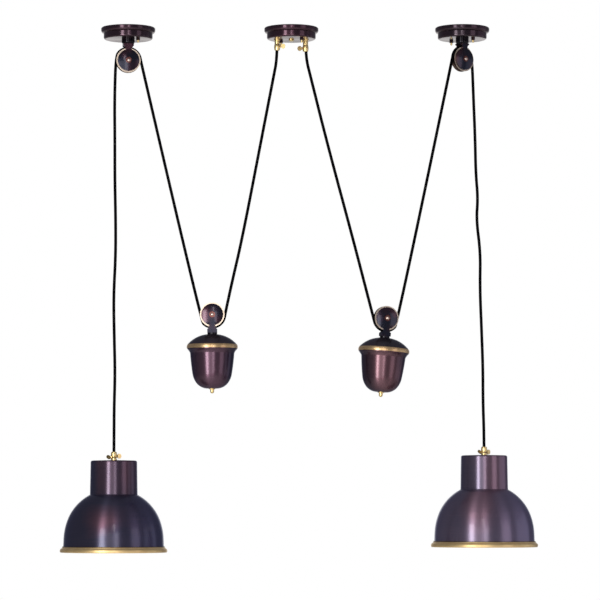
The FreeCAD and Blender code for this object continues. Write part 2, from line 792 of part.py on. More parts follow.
def thumbscrew(name, **spot):
    """Screw about its own Y: the shank's tip beside the flex, a cone and a flat oval to turn it by."""
    collar_start = "grip_bulb_radius + cord_fit"
    collar_end = f"{collar_start} + screw_collar_height"
    corners = [
        ("0", "cord_diameter / 2 + cord_fit"),
        ("screw_radius", "cord_diameter / 2 + cord_fit"),
        ("screw_radius", collar_start),
        ("screw_collar_radius", collar_start),
        ("screw_neck_radius", collar_end),
        ("0", collar_end),
    ]
    body = turned(name, corners, "XY_Plane")
    tip = f"{collar_end} + screw_paddle"
    paddle = [
        (collar_start, "-screw_paddle_root"),
        (collar_end, "-screw_paddle_root", "screw_paddle_side"),
        (tip, "-screw_paddle_tip", "screw_paddle_end"),
        (tip, "screw_paddle_tip", "screw_paddle_side"),
        (collar_end, "screw_paddle_root"),
        (collar_start, "screw_paddle_root"),
    ]
    add_pad(body, name + "_paddle", "YZ_Plane", paddle, "screw_paddle_thickness")
    return keep(place(body, **spot))


rose_grips = []
for side, across, turn, lean in (("left", "-rose_grip_x", "0", "20"), ("right", "rose_grip_x", "180", "10")):
    rose_screw = f"grip_flange_height + {side}_rose_grip_neck + grip_bulb_height / 2 - {side}_rose_screw_lift"
    grip_spot = {"across": across, "up": "-rose_height", "yaw": turn, "upside_down": True}
    rose_grips.append(cord_grip(f"rose_grip_{side}", side, [(rose_screw, "forwards")], **grip_spot))
    nut_top = "-(rose_height - rose_wall - lock_nut_height)"
    nut = (across, "0", nut_top, "lock_nut_flats", "lock_nut_height", "stem_radius")
    rose_grips.append(hex_nut(f"lock_nut_{side}", *nut))
    screw_up = f"-(rose_height + {rose_screw})"
    thumbscrew(f"rose_thumbscrew_{side}", across=across, up=screw_up, yaw=f"{turn} - 90", pitch=lean)
group("rose_cord_grips", rose_grips)

# ---------------------------------------------------------------- shades

SHADE_DEEP = {
    "left": "-pitch_radius * sin(left_block_yaw)",
    "right": "pitch_radius * sin(right_block_yaw)",
}


def shade_shell(name):
    """Spun shade: a crowned top, a straight neck and a dome in two sweeps down to a plain lip."""
    lip = "-(shade_height - rim_web)"
    corners = [
        ("stem_radius + thread_fit", "shade_crown"),
        ("neck_top_radius - neck_corner", "0", "-neck_corner"),
        ("neck_top_radius", "-neck_corner"),
        ("neck_bottom_radius", "-(neck_height - shade_wall)"),
        ("dome_start_radius", "-neck_height", "-dome_upper_curve"),
        ("dome_middle_radius", "-dome_middle_drop", "-dome_lower_curve"),
        ("dome_side_radius", "-dome_side_drop"),
        ("dome_lip_radius", lip),
        ("dome_lip_radius - shade_wall", lip),
        ("dome_side_radius - shade_wall", "-dome_side_drop", "dome_lower_curve - shade_wall"),
        ("dome_middle_radius - shade_wall", "-(dome_middle_drop + shade_wall / 2)", "dome_upper_curve - shade_wall"),
        ("neck_bottom_radius - shade_wall", "-(neck_height + shade_wall)"),
        ("neck_top_radius - shade_wall", "-neck_corner", "neck_corner - shade_wall"),
        ("neck_top_radius - neck_corner", "-shade_wall"),
        ("stem_radius + thread_fit", "shade_crown - shade_wall"),
    ]
    return turned(name, corners)


def shade_rim(name):
    """Brass band round the lip, turned in under it, with a gap for the lip."""
    slot_outer = "dome_lip_radius + thread_fit"
    corners = [
        (slot_outer, "-(shade_height - rim_height)"),
        (slot_outer, "-(shade_height - rim_web)"),
        ("rim_inner_radius", "-(shade_height - rim_web)"),
        ("rim_inner_radius", "-shade_height"),
        ("rim_bottom_radius", "-shade_height", "rim_bulge_curve"),
        ("rim_flare_radius", "-(shade_height - rim_flare_height)", "-rim_flare_curve"),
        ("rim_top_radius", "-(shade_height - rim_height)"),
    ]
    return turned(name, corners)


HOLDER_TOP = "shade_crown - shade_wall - thread_fit"
SOCKET_END = "(socket_top_drop + socket_length)"


def lampholder_cap(name):
    inner = "holder_cap_radius - holder_wall"
    corners = [
        ("stem_radius + thread_fit", HOLDER_TOP),
        ("holder_boss_radius", HOLDER_TOP),
        ("holder_boss_radius", "-holder_boss_drop", "-holder_cap_shoulder * 2"),
        ("holder_cap_radius", "-holder_cap_shoulder"),
        ("holder_cap_radius", "-holder_cap_drop"),
        (inner, "-holder_cap_drop"),
        (inner, "-(holder_cap_shoulder + holder_wall)"),
        ("holder_boss_radius", "-(holder_boss_drop + 2 * holder_wall)"),
        ("stem_radius + thread_fit", "-(holder_boss_drop + 2 * holder_wall)"),
    ]
    return turned(name, corners)


def lampholder_core(name):
    """Porcelain core on which the threaded liner hangs."""
    corners = [
        ("0", "-holder_core_drop"),
        ("socket_radius", "-holder_core_drop"),
        ("holder_core_radius", "-(holder_core_drop + holder_wall)"),
        ("holder_core_radius", "-socket_top_drop"),
        ("0", "-socket_top_drop"),
    ]
    return turned(name, corners)


def lamp_socket(name):
    corners = [
        ("socket_radius", "-socket_top_drop"),
        ("socket_radius + socket_wall", "-socket_top_drop"),
        ("socket_radius + socket_wall", f"-{SOCKET_END}"),
        ("socket_radius", f"-{SOCKET_END}"),
    ]
    return turned(name, corners)


def lampholder_skirt(name):
    """Threaded on the cap, rounded in at the bottom to carry the liner."""
    inner = "holder_cap_radius + thread_fit"
    mouth = "socket_radius + socket_wall + thread_fit"
    corners = [
        (inner, "-holder_skirt_top"),
        (f"{inner} + holder_wall", "-holder_skirt_top"),
        (f"{inner} + holder_wall", f"-({SOCKET_END} - holder_skirt_round)", "-holder_skirt_round"),
        (f"{inner} + holder_wall - holder_skirt_round", f"-{SOCKET_END}"),
        (mouth, f"-{SOCKET_END}"),
        (mouth, f"-({SOCKET_END} - holder_wall)"),
        (inner + " - holder_skirt_round + holder_wall", f"-({SOCKET_END} - holder_wall)"),
        (inner, f"-({SOCKET_END} - holder_skirt_round)"),
    ]
    return turned(name, corners)


SHADE_PIECES = {
    "shade_shell": shade_shell,
    "shade_rim": shade_rim,
    "lampholder_cap": lampholder_cap,
    "lampholder_core": lampholder_core,
    "lamp_socket": lamp_socket,
    "lampholder_skirt": lampholder_skirt,
}
SHADE_BULB_MIDDLE = "grip_flange_height + shade_grip_neck + grip_bulb_height / 2"
for side in SIDES:
    yaw = f"{side}_shade_yaw"
    spot = {"across": f"{side}_shade_x", "deep": SHADE_DEEP[side]}
    top = f"-{side}_shade_drop"
    for piece, make in SHADE_PIECES.items():
        keep(place(make(f"{piece}_{side}"), up=top, **spot))
    seat = f"{top} + shade_crown"
    screws = {
        "low": (f"{SHADE_BULB_MIDDLE} - shade_screw_low", "backwards", "180", "45"),
        "high": (f"{SHADE_BULB_MIDDLE} - {side}_shade_screw_high", "forwards", "0", "0"),
    }
    tapped = [(height, way) for height, way, turn, lean in screws.values()]
    keep(cord_grip(f"shade_grip_{side}", "shade", tapped, up=seat, yaw=yaw, **spot))
    for level, (height, way, turn, lean) in screws.items():
        screw = {"up": f"{seat} + {height}", "yaw": f"{yaw} + {turn} - 90", "pitch": lean}
        thumbscrew(f"shade_thumbscrew_{side}_{level}", **screw, **spot)

# ---------------------------------------------------------------- flex

# Where each leg meets a sheave, in degrees from the sheave's right-hand side, counted over its top.
WRAPS = {
    "left": {"leg": 12.9, "drop": 180, "outer": 193.1, "inner": 348.3},
    "right": {"leg": 171.2, "drop": 0, "outer": -11.1, "inner": -166.4},
}
WRAP_STEPS = 5

# Free stretches, each point chosen by hand: the inner leg from the middle rose down to the weight's
# pulley, and the drop from the ceiling pulley to the shade's grip.
INNER_POINTS = {
    "left": [(-28.5, 0, -15), (-28.5, 0, -61), (-35.6, 0.2, -98), (-59.5, 0.8, -222), (-98.5, 1.6, -426), (-121.5, 2.1, -524)],
    "right": [(28.5, 0, -15), (28.5, 0, -58), (39, -1, -100), (71, -4.3, -230), (123.7, -9.2, -428), (149.4, -11.7, -528)],
}
DROP_POINTS = {
    "left": [(-354.8, -4.3, -148), (-353.8, -4.4, -226), (-353.6, -4.2, -306), (-351.6, -4.5, -388), (-351.4, -4.4, -462),
             (-355.3, -4.2, -541), (-353.6, -4.2, -622), (-351.6, -4.4, -696), (-353.3, -4.5, -764), (-353.3, -4.34, -822)],
    "right": [(366.6, 14.7, -142), (369.6, 14.8, -222), (370.6, 14.6, -292), (374.8, 14.5, -342), (371.4, 14.6, -386),
              (379.6, 14.5, -452), (378, 14.7, -522), (381, 14.6, -604), (383.6, 14.7, -684), (383.4, 14.8, -754), (385.3, 14.69, -812)],
}


def on_sheave(side, kind, angle, share=1.0):
    """Point in the mid plane of a side's ceiling or weight sheave, at a share of the pitch radius."""
    if kind == "block":
        centre = (number(BLOCK_X[side]), 0, -number(BLOCK_DROP[side]))
    else:
        centre = (number(f"{side}_weight_x"), number(WEIGHT_DEEP[side]), -number(f"{side}_weight_drop"))
    yaw = math.radians(number(f"{side}_{kind}_yaw"))
    reach = number("pitch_radius") * share
    level = reach * math.cos(math.radians(angle))
    rise = reach * math.sin(math.radians(angle))
    return FreeCAD.Vector(*centre) + FreeCAD.Vector(level * math.cos(yaw), level * math.sin(yaw), rise)


def wrap_corners(side, kind, first, last):
    """Corners of the polygon that fits round the pitch circle between two angles."""
    step = (last - first) / WRAP_STEPS
    share = 1 / math.cos(math.radians(step / 2))
    return [on_sheave(side, kind, first + step * (k + 0.5), share) for k in range(WRAP_STEPS)]


def cord_wire(name, points, bend_limits):
    """Straight runs joined by tangent arcs. A corner with a limit bends at that radius, as round a
    sheave; a free one takes 0.45 of its shorter run."""
    edges = []
    radii = []
    last = points[0]
    for i in range(1, len(points) - 1):
        before = points[i] - points[i - 1]
        after = points[i + 1] - points[i]
        half_turn = before.getAngle(after) / 2
        reach = 0.45 * min(before.Length, after.Length)
        if bend_limits[i]:
            room = [before.Length / (1 if i == 1 else 2), after.Length / (1 if i == len(points) - 2 else 2)]
            reach = min([bend_limits[i] * math.tan(half_turn)] + room)
        radius = reach / math.tan(half_turn)
        radii.append(radius)
        before.normalize()
        after.normalize()
        enter = points[i] - before * reach
        leave = points[i] + after * reach
        middle = points[i] + (after - before).normalize() * (radius / math.cos(half_turn) - radius)
        if (enter - last).Length > 0.02:
            edges.append(Part.LineSegment(last, enter).toShape())
        else:
            enter = last
        edges.append(Part.Arc(enter, middle, leave).toShape())
        last = leave
    if (points[-1] - last).Length > 0.02:
        edges.append(Part.LineSegment(last, points[-1]).toShape())
    print(name, "bend radii:", " ".join(f"{radius:.0f}" for radius in radii))
    return Part.Wire(edges)


def cord(name, corners):
    """Round tube along a route of (point, bend limit) corners."""
    points = [point for point, limit in corners]
    wire = cord_wire(name, points, [limit for point, limit in corners])
    start = wire.OrderedEdges[0]
    heading = start.tangentAt(start.FirstParameter)
    ring = Part.Circle(points[0], heading, number("cord_diameter") / 2)
    tube = wire.makePipeShell([Part.Wire(ring.toShape())], True, False)
    expected = math.pi * number("cord_diameter") ** 2 / 4 * wire.Length
    print(f"{name} length {wire.Length:.1f} volume {tube.Volume:.0f} section times length {expected:.0f}")
    piece = doc.addObject("Part::Feature", name)
    piece.Shape = tube
    return keep(piece)


def free(points):
    return [(FreeCAD.Vector(*point), None) for point in points]


def wrapped(points):
    return [(point, number("pitch_radius")) for point in points]


for side in SIDES:
    angles = WRAPS[side]
    leg_top = on_sheave(side, "block", angles["leg"])
    inner_end = on_sheave(side, "weight", angles["inner"])
    over = wrap_corners(side, "block", angles["leg"], angles["drop"])
    under = wrap_corners(side, "weight", angles["outer"], angles["inner"])
    drop_end = FreeCAD.Vector(*DROP_POINTS[side][-1])
    drop_end.z = -number(f"{side}_shade_drop + holder_core_drop - cord_fit")
    cord(f"cord_drop_{side}", [(leg_top, None)] + wrapped(over) + free(DROP_POINTS[side]) + [(drop_end, None)])
    cord(f"cord_outer_{side}", [(leg_top, None)] + wrapped(under) + [(inner_end, None)])
    cord(f"cord_inner_{side}", free(INNER_POINTS[side]) + [(inner_end, None)])

# ---------------------------------------------------------------- checks and export

doc.recompute()
for item in doc.Objects:
    if {"Invalid", "Error"} & set(item.State):
        raise RuntimeError(f"{item.Label} failed: {item.State}")
    if item.TypeId == "PartDesign::Pocket" and item.Shape.Volume > item.BaseFeature.Shape.Volume - 1:
        raise RuntimeError(f"{item.Label} cuts nothing")
for node in nodes:
    if node.Shape.isNull() or not node.Shape.isValid():
        raise RuntimeError(f"{node.Label} has no valid shape")

os.makedirs("parts", exist_ok=True)
for node in nodes:
    node.Shape.exportStep(f"parts/{node.Label}.step")
print(len(nodes), "nodes")
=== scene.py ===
import math

import bmesh
import bpy
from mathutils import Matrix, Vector


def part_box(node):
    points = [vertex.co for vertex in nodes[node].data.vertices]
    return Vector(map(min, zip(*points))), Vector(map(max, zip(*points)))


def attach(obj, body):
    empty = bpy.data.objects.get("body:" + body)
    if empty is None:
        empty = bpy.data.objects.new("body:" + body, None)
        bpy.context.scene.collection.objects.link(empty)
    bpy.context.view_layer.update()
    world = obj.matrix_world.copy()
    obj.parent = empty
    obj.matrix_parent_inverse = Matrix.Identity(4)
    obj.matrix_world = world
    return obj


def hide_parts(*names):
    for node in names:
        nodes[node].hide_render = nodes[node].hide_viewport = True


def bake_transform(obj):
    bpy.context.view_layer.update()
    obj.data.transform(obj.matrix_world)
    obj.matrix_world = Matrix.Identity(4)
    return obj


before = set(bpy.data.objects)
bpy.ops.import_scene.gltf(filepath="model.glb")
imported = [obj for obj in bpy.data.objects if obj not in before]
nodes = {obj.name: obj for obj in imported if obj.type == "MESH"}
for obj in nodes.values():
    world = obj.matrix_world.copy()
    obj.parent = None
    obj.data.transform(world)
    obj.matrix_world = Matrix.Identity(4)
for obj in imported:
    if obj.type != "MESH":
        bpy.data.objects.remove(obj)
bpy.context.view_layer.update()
scene = bpy.context.scene

SIDES = ("left", "right")

# Places of the moving groups at rest, in millimetres and degrees, as in the part's source.
PITCH_RADIUS = 25
SHEAVES = {
    ("left", "block"): ((-328, 0, -66), 10),
    ("right", "block"): ((343.5, 0, -63.6), 36),
    ("left", "weight"): ((-158, 2.17, -577.4), 0),
    ("right", "weight"): ((189.2, -7.35, -585.4), 14),
}
SHADE_AXES = {"left": (-353.3, -4.34), "right": (385.3, 14.69)}
SHADE_TOPS = {"left": -869, "right": -858.4}

# ---------------------------------------------------------------- shader helpers


class Graph:
    """A node tree with short ways to add and join nodes."""

    def __init__(self, tree):
        self.tree = tree

    def node(self, kind, inputs=None, **settings):
        made = self.tree.nodes.new(kind)
        for key, value in settings.items():
            setattr(made, key, value)
        for socket, value in (inputs or {}).items():
            if isinstance(value, bpy.types.NodeSocket):
                self.tree.links.new(value, made.inputs[socket])
            else:
                made.inputs[socket].default_value = value
        return made

    def math(self, operation, *values):
        return self.node("ShaderNodeMath", dict(enumerate(values)), operation=operation).outputs[0]

    def mix(self, share, first, second):
        """Colour between two colours or colour sockets."""
        inputs = {0: share}
        for socket, colour in ((6, first), (7, second)):
            inputs[socket] = colour if isinstance(colour, bpy.types.NodeSocket) else (*colour, 1)
        return self.node("ShaderNodeMix", inputs, data_type="RGBA").outputs[2]

    def between(self, share, first, second):
        """Number between two numbers or sockets."""
        return self.node("ShaderNodeMix", {0: share, 2: first, 3: second}).outputs[0]

    def split(self, vector):
        return self.node("ShaderNodeSeparateXYZ", {0: vector}).outputs


class Finish(Graph):
    """A material with its principled shader."""

    def __init__(self, name, **values):
        self.material = bpy.data.materials.new(name)
        self.material.use_nodes = True
        super().__init__(self.material.node_tree)
        self.shader = self.tree.nodes["Principled BSDF"]
        for socket, value in values.items():
            self.shader.inputs[socket.replace("_", " ")].default_value = value

    def ramp(self, share, *stops):
        """Grey value looked up from (position, value) stops."""
        made = self.node("ShaderNodeValToRGB", {0: share})
        elements = made.color_ramp.elements
        while len(elements) < len(stops):
            elements.new(0.5)
        for element, (position, value) in zip(elements, stops):
            element.position = position
            element.color = (value, value, value, 1)
        return made.outputs[0]

    def noise(self, vector, scale, detail=3.0, roughness=0.5):
        inputs = {"Vector": vector, "Scale": scale, "Detail": detail, "Roughness": roughness}
        return self.node("ShaderNodeTexNoise", inputs).outputs[0]

    def place(self, stretch=(1, 1, 1), middle=(0, 0, 0)):
        """Object coordinates, moved to a middle and stretched."""
        spot = self.node("ShaderNodeTexCoord").outputs["Object"]
        inputs = {"Vector": spot, "Location": [-m * s for m, s in zip(middle, stretch)], "Scale": stretch}
        return self.node("ShaderNodeMapping", inputs).outputs[0]

    def across(self, middle, span):
        """Share of a span in metres, 0 at its left and 1 at its right, and metres above its middle."""
        spread = self.split(self.place(middle=middle))
        return self.math("MULTIPLY_ADD", spread[0], 1 / span, 0.5), spread[2]

    def bump(self, height, strength, distance):
        inputs = {"Height": height, "Strength": strength, "Distance": distance}
        return self.node("ShaderNodeBump", inputs).outputs[0]

    def feed(self, **sockets):
        for socket, output in sockets.items():
            self.tree.links.new(output, self.shader.inputs[socket.replace("_", " ")])


def spun(finish, amount):
    """Stretches the highlights along the profile, as the rings of a spun or turned piece do."""
    finish.shader.inputs["Anisotropic"].default_value = amount
    finish.shader.inputs["Anisotropic Rotation"].default_value = 0.25
    tangent = finish.node("ShaderNodeTangent", direction_type="RADIAL", axis="Z")
    finish.feed(Tangent=tangent.outputs[0])


# ---------------------------------------------------------------- lacquer

LACQUER_METAL = 0.94
INSIDE_WHITE = (0.80, 0.79, 0.75)
# Painted shade: the dark blue laid on the left-hand edge of a shade's neck.
NECK_SHADE_BLUE = (0.045, 0.048, 0.075)

# A shade's patches go by the share of SHADE_SPAN from left to right, and by level: 0 at SHADE_SPAN under
# its top and 1 at its top. Every entry is (position, value). The patches are painted light: a warmer glow
# round the highlight streaks, a lighter and bluer right-hand side, and shade at the neck's left-hand edge.
SHADE_SPAN = 0.2
NECK_STARTS, NECK_FULL = 0.62, 0.67
DOME_GLOW_SPREAD = ((0.0, 0.0), (0.24, 0.08), (0.38, 0.40), (0.52, 0.34), (0.66, 0.06), (1.0, 0.0))
DOME_GLOW = {
    "left": ((0.20, 0.15), (0.40, 1.0), (0.50, 0.55), (0.58, 0.1)),
    "right": ((0.20, 0.0), (0.36, 0.45), (0.50, 1.0), (0.60, 1.0)),
}
NECK_GLOW = {
    "left": ((0.27, 0.0), (0.36, 0.30), (0.46, 0.24), (0.56, 0.24), (0.64, 0.34), (0.73, 0.12)),
    "right": ((0.27, 0.0), (0.46, 0.0), (0.54, 0.26), (0.64, 0.40), (0.73, 0.24)),
}
SHADE_MEAN_GLOW = 0.14
NECK_EDGE = {"left": 0.0, "right": 0.85}
LIT_SIDE_TONES = {"left": (0.070, 0.078, 0.150), "right": (0.205, 0.180, 0.280)}

WEIGHT_SPAN = 0.1
# Painted highlight and shade across a counterweight: lightest at its middle, darkest at its sides.
WEIGHT_GLOW_SPREAD = ((0.04, 0.0), (0.28, 0.30), (0.50, 0.42), (0.74, 0.32), (0.96, 0.0))
WEIGHT_MEAN_GLOW = 0.25


def shade_patches(finish, side):
    """Three painted-light shares over a shade: a warm glow round its highlight streaks, given against the mean,
    its lighter, bluer right-hand side, and painted shade in dark blue at the left-hand edge of its neck."""
    middle = (SHADE_AXES[side][0] / 1000, 0, SHADE_TOPS[side] / 1000)
    share, above = finish.across(middle, SHADE_SPAN)
    level = finish.math("MULTIPLY_ADD", above, 1 / SHADE_SPAN, 1.0)
    is_neck = finish.ramp(level, (NECK_STARTS, 0), (NECK_FULL, 1))
    dome = finish.ramp(share, *DOME_GLOW_SPREAD)
    dome = finish.math("MULTIPLY", dome, finish.ramp(level, *DOME_GLOW[side]))
    neck = finish.ramp(share, *NECK_GLOW[side])
    warm_glow = finish.math("SUBTRACT", finish.between(is_neck, dome, neck), SHADE_MEAN_GLOW)
    right = finish.ramp(share, (0.50, 0), (0.80, 0.8))
    below_neck = finish.ramp(level, (NECK_STARTS, 1), (NECK_FULL, 0.15))
    edge = finish.ramp(share, (0.26, NECK_EDGE[side]), (0.44, 0))
    return warm_glow, finish.math("MULTIPLY", right, below_neck), finish.math("MULTIPLY", edge, is_neck)


def weight_glow(finish, side):
    """Painted highlight and shade on a counterweight, given against its mean: warmer and lighter at its middle,
    darker at its sides.
    """
    share, _ = finish.across((SHEAVES[side, "weight"][0][0] / 1000, 0, 0), WEIGHT_SPAN)
    return finish.math("SUBTRACT", finish.ramp(share, *WEIGHT_GLOW_SPREAD), WEIGHT_MEAN_GLOW)


def inside_mask(finish, middle):
    """1 on faces that look at the vertical axis through middle, 0 on those that look away from it."""
    away = finish.place((1, 1, 0), (middle[0] / 1000, middle[1] / 1000, 0))
    normal = finish.node("ShaderNodeNewGeometry").outputs["True Normal"]
    facing = finish.node("ShaderNodeVectorMath", {0: away, 1: normal}, operation="DOT_PRODUCT")
    return finish.math("LESS_THAN", facing.outputs["Value"], -0.0005)


def lacquer(name, cool, warm, turned=True, tint=(0.40, 0.42, 0.58), rough=0.34, shade=None, weight=None):
    """Dark bronze lacquer over metal: blued and plum patches, with fine rings under the gloss. On a shade or a
    counterweight, patches set across its width add painted highlight, reflection and shade.
    """
    finish = Finish(name, Metallic=LACQUER_METAL, IOR=1.45, Coat_Weight=0.4, Coat_Roughness=0.13)
    finish.shader.inputs["Specular Tint"].default_value = (*tint, 1)
    cloud = finish.noise(finish.place((1, 1, 0.6)), 7, 4)
    if shade:
        warm_glow, lit_side, painted_neck_shade = shade_patches(finish, shade)
        # painted reflection: a warmer glow round the highlight streaks
        cloud = finish.math("ADD", cloud, warm_glow)
    if weight:
        # painted highlight and shade on the counterweight
        cloud = finish.math("ADD", cloud, weight_glow(finish, weight))
    colour = finish.mix(finish.ramp(cloud, (0.36, 0), (0.64, 1)), cool, warm)
    if shade:
        # painted light: a lighter, bluer right-hand side
        colour = finish.mix(lit_side, colour, LIT_SIDE_TONES[shade])
        # painted shade: dark blue at the neck's left-hand edge
        colour = finish.mix(painted_neck_shade, colour, NECK_SHADE_BLUE)
    grain = finish.noise(finish.place((12, 12, 1500)), 1, 2)
    light = [c * 1.6 for c in warm]
    colour = finish.mix(finish.math("MULTIPLY", grain, 0.3), colour, light)
    if turned:
        spun(finish, 0.9 if shade else 0.75)
    if shade:
        inside = inside_mask(finish, SHADE_AXES[shade])
        colour = finish.mix(inside, colour, INSIDE_WHITE)
        finish.feed(Metallic=finish.math("MULTIPLY_ADD", inside, -LACQUER_METAL, LACQUER_METAL))
    shine = finish.math("MULTIPLY_ADD", grain, 0.12, rough - 0.06)
    finish.feed(Base_Color=colour, Roughness=shine, Normal=finish.bump(grain, 0.07, 0.0003))
    return finish.material


# ---------------------------------------------------------------- other finishes

JOINT_SHADOW = (0.045, 0.022, 0.018)
CHEEK_BLUE, CHEEK_PLUM = (0.018, 0.019, 0.032), (0.060, 0.024, 0.034)
HUB_COPPER = (0.24, 0.075, 0.05)
FLEX_DARK, FLEX_LIGHT = (0.0008, 0.0008, 0.001), (0.005, 0.005, 0.006)
STRANDS_AROUND = 12.0
STRANDS_PER_METRE = 620.0


def brass(name, colour, rough=0.3, turned=False, joint=None, coat=0.35):
    """Polished brass under clear lacquer, with tarnish, turning marks and a painted shadow line at a joint's level.
    """
    finish = Finish(name, Metallic=1.0, IOR=1.5, Coat_Weight=coat, Coat_Roughness=0.08)
    tarnish = finish.ramp(finish.noise(finish.place(), 60, 5, 0.6), (0.45, 0), (0.75, 1))
    grain = finish.noise(finish.place((40, 40, 1800)), 1, 2)
    darker = [c * d for c, d in zip(colour, (0.78, 0.66, 0.5))]
    tone = finish.mix(finish.math("MULTIPLY", tarnish, 0.5), colour, darker)
    if joint:
        # Painted shadow: a dark line along the top edge, down to about 2 mm under the joint's level.
        above = finish.split(finish.place(middle=(0, 0, joint)))[2]
        line = finish.ramp(finish.math("MULTIPLY", above, -100.0), (0.09, 1), (0.19, 0))
        tone = finish.mix(finish.math("MULTIPLY", line, 0.9), tone, JOINT_SHADOW)
    if turned:
        spun(finish, 0.6)
    sheen = finish.math("MULTIPLY_ADD", grain, 0.12, rough - 0.05)
    finish.feed(Base_Color=tone, Roughness=sheen, Normal=finish.bump(grain, 0.1, 0.0002))
    return finish.material


def plain_metal(name, colour, rough, speckle, bump):
    """Cast, plated or blackened metal: a mottled colour with fine bumps."""
    finish = Finish(name, Metallic=0.9, IOR=1.5)
    mottle = finish.noise(finish.place(), speckle, 4, 0.6)
    light = [min(1, c * 1.5) for c in colour]
    shine = finish.math("MULTIPLY_ADD", mottle, 0.25, rough - 0.1)
    normal = finish.bump(mottle, 0.3, bump)
    finish.feed(Base_Color=finish.mix(mottle, colour, light), Roughness=shine, Normal=normal)
    return finish.material


def glazed(name, colour, rough):
    """Porcelain or plastic with a faint uneven tone."""
    finish = Finish(name, Roughness=rough, IOR=1.5, Coat_Weight=0.4, Coat_Roughness=0.06)
    dull = [c * 0.92 for c in colour]
    finish.feed(Base_Color=finish.mix(finish.noise(finish.place(), 40, 3), dull, colour))
    return finish.material


def braided(name):
    """Black braided sleeve: two families of strands that pass over and under each other."""
    finish = Finish(name, Roughness=0.9, IOR=1.04)
    spread = finish.split(finish.node("ShaderNodeUVMap").outputs[0])
    around = finish.math("MULTIPLY", spread[0], STRANDS_AROUND)
    along = finish.math("MULTIPLY", spread[1], STRANDS_PER_METRE)
    ways = [finish.math("ADD", around, along), finish.math("SUBTRACT", around, along)]
    strands = []
    for way in ways:
        part = finish.math("FRACT", way)
        rest = finish.math("SUBTRACT", 1.0, part)
        strands.append(finish.math("MULTIPLY", finish.math("MULTIPLY", part, rest), 4.0))
    cells = finish.math("ADD", finish.math("FLOOR", ways[0]), finish.math("FLOOR", ways[1]))
    turn = finish.math("FRACT", finish.math("MULTIPLY", cells, 0.5))
    height = finish.between(finish.math("GREATER_THAN", turn, 0.25), *strands)
    # Painted shade and highlight: the braid is darker between the strands and lighter on their crowns.
    colour = finish.mix(height, FLEX_DARK, FLEX_LIGHT)
    finish.feed(Base_Color=colour, Normal=finish.bump(height, 0.7, 0.0003))
    return finish.material


def from_axle(finish, spot):
    """Coordinates in millimetres from the middle of a sheave, with Y along its axle."""
    centre, yaw = spot
    inputs = {"Vector": finish.place(middle=[c / 1000 for c in centre]), "Angle": math.radians(-yaw)}
    turned = finish.node("ShaderNodeVectorRotate", inputs, rotation_type="Z_AXIS").outputs[0]
    return finish.node("ShaderNodeVectorMath", {0: turned, 1: (1000,) * 3}, operation="MULTIPLY").outputs[0]


def cheek_lacquer(name, *spots):
    """Lacquer of the pulleys' cheeks, with the bare coppery ring of each hub round its axle."""
    finish = Finish(name, Metallic=0.9, Roughness=0.24, IOR=1.45, Coat_Weight=0.5, Coat_Roughness=0.12)
    finish.shader.inputs["Specular Tint"].default_value = (0.32, 0.36, 0.55, 1)
    reaches = []
    for spot in spots:
        flat = finish.node("ShaderNodeVectorMath", {0: from_axle(finish, spot), 1: (1, 0, 1)}, operation="MULTIPLY")
        length = finish.node("ShaderNodeVectorMath", {0: flat.outputs[0]}, operation="LENGTH")
        reaches.append(length.outputs["Value"])
    reach = reaches[0] if len(spots) == 1 else finish.math("MINIMUM", *reaches)
    hub = finish.ramp(finish.math("DIVIDE", reach, 10.0), (0.56, 1), (0.62, 0))
    cloud = finish.ramp(finish.noise(finish.place(), 25, 4), (0.42, 0), (0.58, 1))
    colour = finish.mix(cloud, CHEEK_PLUM, CHEEK_BLUE)
    colour = finish.mix(finish.math("MULTIPLY", hub, 0.8), colour, HUB_COPPER)
    rings = finish.math("SINE", finish.math("MULTIPLY", reach, 16.0))
    finish.feed(Base_Color=colour, Normal=finish.bump(rings, 0.05, 0.0001))
    return finish.material


def sheave_brass(name, spot):
    """Bright turned brass on the wheel's two faces, and painted shade, dark brown, in the groove and on its edges.
    """
    finish = Finish(name, Metallic=1.0, IOR=1.5)
    out = finish.math("ABSOLUTE", finish.split(from_axle(finish, spot))[1])
    bright = finish.ramp(finish.math("DIVIDE", out, 10.0), (0.53, 0), (0.57, 1))
    mottle = finish.noise(finish.place(), 120, 4, 0.6)
    face = finish.mix(mottle, (0.68, 0.55, 0.40), (0.84, 0.73, 0.57))
    # painted shade in the groove, between the wheel's two faces
    groove_shade = finish.mix(mottle, (0.05, 0.032, 0.03), (0.12, 0.08, 0.06))
    rough = finish.math("MULTIPLY_ADD", mottle, 0.15, 0.3)
    finish.feed(Base_Color=finish.mix(bright, groove_shade, face), Roughness=rough)
    return finish.material


# ---------------------------------------------------------------- finishes on the CAD nodes

POLISHED = brass("polished_brass", (1.0, 0.77, 0.33))
PIN = brass("pin_brass", (0.88, 0.72, 0.60), 0.26)
BAND = brass("band_brass", (0.78, 0.54, 0.27), 0.38, turned=True, coat=0.2)
RIM_COLOUR = (1.0, 0.74, 0.35)
ZINC = plain_metal("zinc_plate", (0.50, 0.51, 0.53), 0.4, 300, 0.0001)
DARK_STEEL = plain_metal("blackened_steel", (0.05, 0.026, 0.03), 0.35, 250, 0.0001)
IRON = plain_metal("cast_iron", (0.10, 0.10, 0.11), 0.7, 500, 0.0006)
PORCELAIN = glazed("porcelain", (0.90, 0.89, 0.86), 0.2)
NYLON = glazed("nylon", (0.85, 0.83, 0.76), 0.45)
FLEX = braided("braided_flex")

# Cool and warm tone of each lacquer.
ROSE_TONES = (0.024, 0.022, 0.026), (0.062, 0.026, 0.038)
CAP_TONES = (0.040, 0.044, 0.056), (0.085, 0.060, 0.072)
YOKE_TONES = (0.005, 0.005, 0.008), (0.010, 0.007, 0.010)
